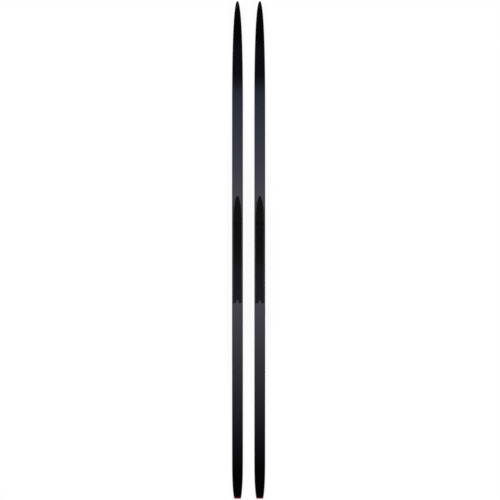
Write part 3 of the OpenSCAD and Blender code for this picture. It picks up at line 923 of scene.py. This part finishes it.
# %% [markdown]
# The binding plate.
# A long moulded plate is glued on the middle of the ski. A binding slides onto its two rails and clicks into
# one of its slots. Its nose is half an ellipse that ramps down to the topsheet, and its rear has an arched
# notch. A box with booleans would give this shape with hard rims. Here one half is a grid of rings by points,
# and the other half is its mirror image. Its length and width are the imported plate's.

# %% Place of the binding plate and its slots
NOSE_LENGTH = 0.118  # metres
SLOT_PITCH = 0.008
SLOT_ROWS = ((0.070, 10), (-0.120, 7))  # each row's place from the plate's middle, and its number of slots

plate_low, plate_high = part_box("left_binding_plate")
plate_half = (plate_high.x - plate_low.x) / 2
nose_start = plate_high.y - NOSE_LENGTH
slots = np.concatenate([at + SLOT_PITCH * (np.arange(n) - (n - 1) / 2) for at, n in SLOT_ROWS])
slots = slots + (plate_low.y + plate_high.y) / 2
print(len(slots), "slots in a plate", round(1000 * (plate_high.y - plate_low.y)), "mm long")

# %% [markdown]
# Rings round the plate.
# The rings follow the outline from the rear round the nose. Each has its foot on the centre line. Along the
# straight part the foot moves on from ring to ring, and round the nose it stays where the nose starts, while
# the rings turn about it like the ribs of a fan. Even steps would miss the edges of the slots and cut across
# the curves of the rear, so those places are marked first, and even steps fill the gaps between them.

# %% Rings round the plate
PLATE_THICK = 0.0048  # metres
NOSE_RAMP = 0.054
NOSE_EDGE = 0.0014
REAR_RAMP = 0.014
REAR_EDGE = 0.0034
CORNER_ROUND = 0.003
NOTCH_HALF = 0.007
NOTCH_LENGTH = 0.013
SLOT_LENGTH = 0.0034
SLOT_DRAFT = 0.00015
PLATE_STEP = 0.004
NOSE_RINGS = 40
CURVE_MARKS = 13  # rings on a rear corner, and in the notch
MARK_DECIMALS = 6  # of a metre, so that two marks in one place become one


def plate_marks():
    """Places along the straight part where its outline or its slots turn."""
    turn = np.linspace(0, np.pi / 2, CURVE_MARKS)
    rim_edges = SLOT_LENGTH / 2 * np.array([-1, -1, 1, 1]) + SLOT_DRAFT * np.array([-1, 1, -1, 1])
    corner_marks = plate_low.y + CORNER_ROUND * (1 - np.cos(turn))
    notch_marks = plate_low.y + NOTCH_LENGTH * np.sin(turn)
    slot_marks = (slots[:, None] + rim_edges).ravel()
    ends = [plate_low.y + REAR_RAMP, nose_start]
    marks = np.concatenate([corner_marks, notch_marks, slot_marks, ends])
    return np.unique(marks.round(MARK_DECIMALS))


straight = filled(plate_marks(), PLATE_STEP)
nose_angle = np.append(np.zeros(len(straight)), np.linspace(0, np.pi / 2, NOSE_RINGS + 1)[1:])[:, None]
foot = np.append(straight, np.full(NOSE_RINGS, nose_start))[:, None]
past_corner = np.clip((plate_low.y + CORNER_ROUND - foot) / CORNER_ROUND, 0, 1)
pulled = 1 - np.sqrt(1 - past_corner ** 2)
notch = NOTCH_HALF * np.sqrt(np.clip(1 - ((foot - plate_low.y) / NOTCH_LENGTH) ** 2, 0, 1))


def plate_height(y):
    """Height of the deck over the topsheet, eased down over the nose's ramp and the rear's."""
    nose = (PLATE_THICK - NOSE_EDGE) * eased(1 - (plate_high.y - y) / NOSE_RAMP)
    rear = (PLATE_THICK - REAR_EDGE) * eased(1 - (y - plate_low.y) / REAR_RAMP)
    return PLATE_THICK - nose - rear


def outline(inset):
    """The plate's outline drawn in by inset. A ring at angle a of the nose stands at
    x = (half - inset) cos(a) and y = foot + (length - inset) sin(a). Along the straight part a is 0, and the
    rear corners are pulled in on a quarter circle."""
    x = (plate_half - inset - (CORNER_ROUND - inset) * pulled) * np.cos(nose_angle)
    return x, np.broadcast_to(foot + (NOSE_LENGTH - inset) * np.sin(nose_angle), x.shape)


print(len(foot), "rings round half a plate")

# %% [markdown]
# Deck, rim and rails.
# The points of a ring go from the middle of the deck out over a rounded rim, down the side, in and out of the
# rail's groove, and back underneath. The slots could be boxes cut out of the deck. Here they are places where
# the deck lies lower, and since rings and points stand at their edges, their walls come out steep and clean.
# At the nose the plate is thinner than the groove is high, so there the groove shrinks with the side.

# %% Deck, rim and rails
SLOT_HALF = 0.007  # metres
SLOT_DEPTH = 0.0022
RIM_ROUND = 0.0007
RAIL_DEPTH = 0.0019
RAIL_LOW = 0.0014
RAIL_HIGH = 0.003
INNER_SHARES = [0, 0.18]  # of the deck's half width, the points inside the slots' ends
OUTER_SHARES = [0.55, 0.78, 1]  # and those outside them
RIM_POINTS = 5
RAIL_HIGH_SHARE = 0.9  # of the side's height, the most that the groove may reach up to
RAIL_LOW_SHARE = 0.45  # and the most that its foot may be high


def plate_deck():
    """From the middle, or from the notch, out to where the rim turns down. A slot lowers the deck between its
    edges."""
    deck_x, deck_y = outline(RIM_ROUND)
    slot_share = (SLOT_HALF + SLOT_DRAFT * np.array([-1, 1])) / (plate_half - RIM_ROUND)
    share = np.concatenate([INNER_SHARES, slot_share, OUTER_SHARES])
    past_edge = (SLOT_LENGTH / 2 - abs(foot - slots)) / (2 * SLOT_DRAFT)
    in_slot = np.clip(0.5 + past_edge, 0, 1).max(1, keepdims=True)
    in_slot = in_slot * (nose_angle == 0) * (share < slot_share.mean())
    deck_z = plate_height(deck_y) - SLOT_DEPTH * in_slot
    return np.stack(np.broadcast_arrays(notch + share * (deck_x - notch), deck_y, deck_z), -1)


def plate_rim():
    """A quarter round from the deck to the side."""
    turn = np.linspace(0, np.pi / 2, RIM_POINTS + 1)[1:]
    rim_x, rim_y = outline(RIM_ROUND * (1 - np.sin(turn)))
    return np.stack([rim_x, rim_y, plate_height(rim_y) - RIM_ROUND * (1 - np.cos(turn))], -1)


def plate_rail():
    """Down the side, in and out of the rail's groove, and back underneath to the middle or the notch."""
    side_x, side_y = outline(np.zeros(1))
    tall = plate_height(side_y)
    groove_x = np.minimum(side_x, plate_half - RAIL_DEPTH)
    high = np.minimum(RAIL_HIGH, RAIL_HIGH_SHARE * (tall - RIM_ROUND))
    low = np.minimum(RAIL_LOW, RAIL_LOW_SHARE * tall)
    foot_z = np.zeros_like(tall)
    x = np.concatenate([side_x, groove_x, groove_x, side_x, side_x, notch], 1)
    z = np.concatenate([high, high, low, low, foot_z, foot_z], 1)
    return np.stack([x, np.broadcast_to(side_y, x.shape), z], -1)


# %% [markdown]
# The plate's finish.
# The plate is moulded like the end pieces. From above, its rear third shows a faint sheen, a shade greyer than
# the rest, and that sheen is painted into its colour. Two materials would meet in a hard line there, so one
# finish has a ramp along the ski.

# %% Plate finish
PLATE_BLACK = (0.0027, 0.0021, 0.0034, 1)
# the grey of the plate's random clouds, and of the painted sheen on its rear third
PLATE_CLOUD_AND_SHEEN_GREY = (0.0090, 0.0086, 0.0115, 1)
PLATE_WORN = (0.05, 0.05, 0.055, 1)
PLATE_ROUGH = (0.16, 0.22)
PLATE_CLOUDS = (0.35, 0.75)  # cloud values over which the plastic turns greyer
CLOUD_GREY = 0.25  # share of the grey in the palest cloud
PAINTED_SHEEN_SPAN = (-0.005, -0.115)  # metres along the ski over which the painted sheen turns the plate grey


def plate_finish():
    """Moulded near-black plastic with a painted sheen greying its rear third, a fine grain and rubbed rims."""
    made, tree, shader = blank_finish("binding_plate", Specular_IOR_Level=0.35)
    skin = use(tree, grain, Pits_Per_Metre=1100.0)
    worn = use(tree, wear, Amount=0.35)["Worn"]
    # painted sheen: the colour is ramped towards grey over the plate's rear third
    painted_sheen = ramp(tree, along_ski(tree), *PAINTED_SHEEN_SPAN, kind="SMOOTHSTEP")
    colour = between(tree, painted_sheen, PLATE_BLACK, PLATE_CLOUD_AND_SHEEN_GREY)
    colour = between(tree, ramp(tree, skin["Tone"], *PLATE_CLOUDS, 0.0, CLOUD_GREY), colour, PLATE_CLOUD_AND_SHEEN_GREY)
    colour = between(tree, worn, colour, PLATE_WORN)
    dull = ramp(tree, skin["Height"], *GRAIN_SPAN, *PLATE_ROUGH)
    roughness = sums(tree, "SUBTRACT", dull, sums(tree, "MULTIPLY", worn, POLISH))
    feed(tree, shader, colour, roughness, skin["Height"], strength=0.3, distance=0.00003)
    return made


# %% [markdown]
# Closing the plate.
# The topsheet's own curve is added to the heights, so that the plate lies on the cambered ski without a gap.
# A Mirror modifier could make the other half, but the rear end and the wall of the notch need faces of their
# own. So the mirrored points and faces are listed here. A mirror image turns faces inside out, and listing
# their corners in the opposite order turns them back. The halves join where their points meet in the middle.

# %% Binding plate
PLATE_EDGE = [0, 0, 0.2, 0.2, 0, 0, 0.4, 0.8, 1, 1, 0.8, 0.4, 0, 0, 0, 0, 0, 0]  # deck, rim, then rail


def plate_shape():
    """Half the plate as a grid of rings by points on the curved topsheet, closed at the rear and in the
    notch, and its mirror image."""
    grid = np.concatenate([plate_deck(), plate_rim(), plate_rail()], 1)
    grid[..., 2] += smooth(grid[..., 1], stations, sheet_top)
    number = np.arange(grid.shape[0] * grid.shape[1]).reshape(grid.shape[:2])
    strips = np.stack([number[:-1, :-1], number[:-1, 1:], number[1:, 1:], number[1:, :-1]], -1)
    arch = number[:np.count_nonzero(notch) + 1]
    wall = np.stack([arch[:-1, -1], arch[:-1, 0], arch[1:, 0], arch[1:, -1]], -1)
    quads = np.concatenate([strips.reshape(-1, 4), wall])
    quads = np.concatenate([quads, quads[:, ::-1] + number.size])
    rear = [number[0, ::-1].tolist(), (number[0] + number.size).tolist()]
    points = grid.reshape(-1, 3)
    edge = np.tile(np.broadcast_to(PLATE_EDGE, number.shape).ravel(), 2)
    return np.concatenate([points, points * (-1, 1, 1)]), quads.tolist() + rear, edge


place_both("binding_plate", plate_shape(), plate_finish())

# %% [markdown]
# The inside.
# The wood core, the glass sheet under the plate and the fillers of the tips and tails stay as the packed
# model has them, because their shape is right and little of them shows. They still get their own finishes:
# planed wood with the grain along the ski, pale glass twill, and black moulded blocks.

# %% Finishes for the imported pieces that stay
WOOD_PALE = (0.62, 0.44, 0.26, 1)
WOOD_DARK = (0.40, 0.25, 0.13, 1)
WOOD_ROUGH = (0.5, 0.65)
BAND_SPAN = (0.3, 0.7)  # streak values over which a growth band darkens
PORE_SPAN = (0.2, 0.7)  # and over which a pore does
PORE_SHADE = (0.5, 1.0)  # share of a band's darkness between the pores, and in them
GLASS_TOWS = 400.0  # a metre
GLASS_PALE = (0.45, 0.48, 0.33, 1)
GLASS_DARK = (0.33, 0.36, 0.23, 1)
GLASS_ROUGH = (0.35, 0.5)
FILLER_BLACK = (0.0075, 0.0075, 0.0085, 1)
FILLER_GREY = (0.014, 0.014, 0.016, 1)


def wood_finish():
    """Planed wood: broad growth bands and fine pores, both drawn out along the ski."""
    made, tree, shader = blank_finish("core")
    bands = use(tree, streaks, Across=220.0, Along=2.5)["Value"]
    pores = use(tree, streaks, Across=2600.0, Along=45.0)["Value"]
    shade = sums(tree, "MULTIPLY", ramp(tree, bands, *BAND_SPAN), ramp(tree, pores, *PORE_SPAN, *PORE_SHADE))
    colour = between(tree, shade, WOOD_PALE, WOOD_DARK)
    roughness = ramp(tree, pores, *NOISE_SPAN, *WOOD_ROUGH)
    feed(tree, shader, colour, roughness, pores, strength=0.3, distance=0.00005)
    return made


def glass_finish():
    """Glass twill in pale resin."""
    made, tree, shader = blank_finish("reinforcement")
    weave = use(tree, twill, Tows_Per_Metre=GLASS_TOWS)
    fibre = use(tree, streaks, Across=5000.0, Along=80.0)["Value"]
    colour = between(tree, weave["Lengthwise"], GLASS_DARK, GLASS_PALE)
    roughness = ramp(tree, fibre, *NOISE_SPAN, *GLASS_ROUGH)
    feed(tree, shader, colour, roughness, weave["Height"], strength=0.4, distance=0.00005)
    return made


filler_finish = moulded_finish("filler", FILLER_BLACK, FILLER_GREY, pits=800.0, rough=0.42,
                               worn_colour=FILLER_GREY, worn_amount=0.0)
stays = {"core": wood_finish(), "reinforcement": glass_finish(), "tip_filler": filler_finish,
         "tail_filler": filler_finish}
for side in SIDES:
    for node, finish in stays.items():
        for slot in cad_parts[f"{side}_{node}"].material_slots:
            slot.material = finish
print("packed pieces with their own finish:", list(stays))
